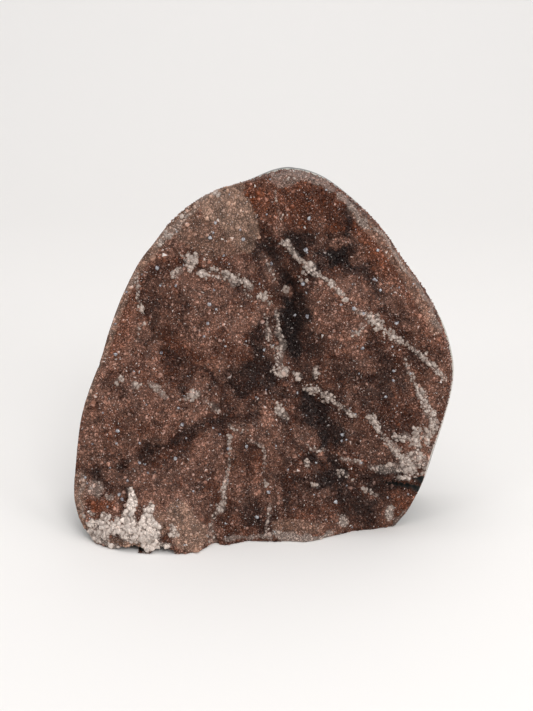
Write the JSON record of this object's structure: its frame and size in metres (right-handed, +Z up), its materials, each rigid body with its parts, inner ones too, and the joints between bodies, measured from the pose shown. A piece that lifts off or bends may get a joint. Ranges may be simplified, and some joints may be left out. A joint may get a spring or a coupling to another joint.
{
  "type": "druzy crystal plate",
  "caption": "Upright slab of dark rock with a lumpy front crust of pinkish-brown druzy quartz crystals and paler crystal veins, sawn round its edge and flat at its foot.",
  "frame": {"origin": "on the floor, in the middle of the flat sawn foot", "axes": "+X to the right and +Z up as the crystal face is seen, with the crystal face towards -Y and leaning back by 12 degrees"},
  "size_m": [0.1228, 0.0543, 0.1148],
  "materials": {
    "druzy_quartz": "natural druzy quartz crystals, glassy on their faces, on a sawn and a broken basalt matrix"
  },
  "bodies": {
    "root": {"druzy_plate": "druzy_quartz"}
  },
  "joints": []
}
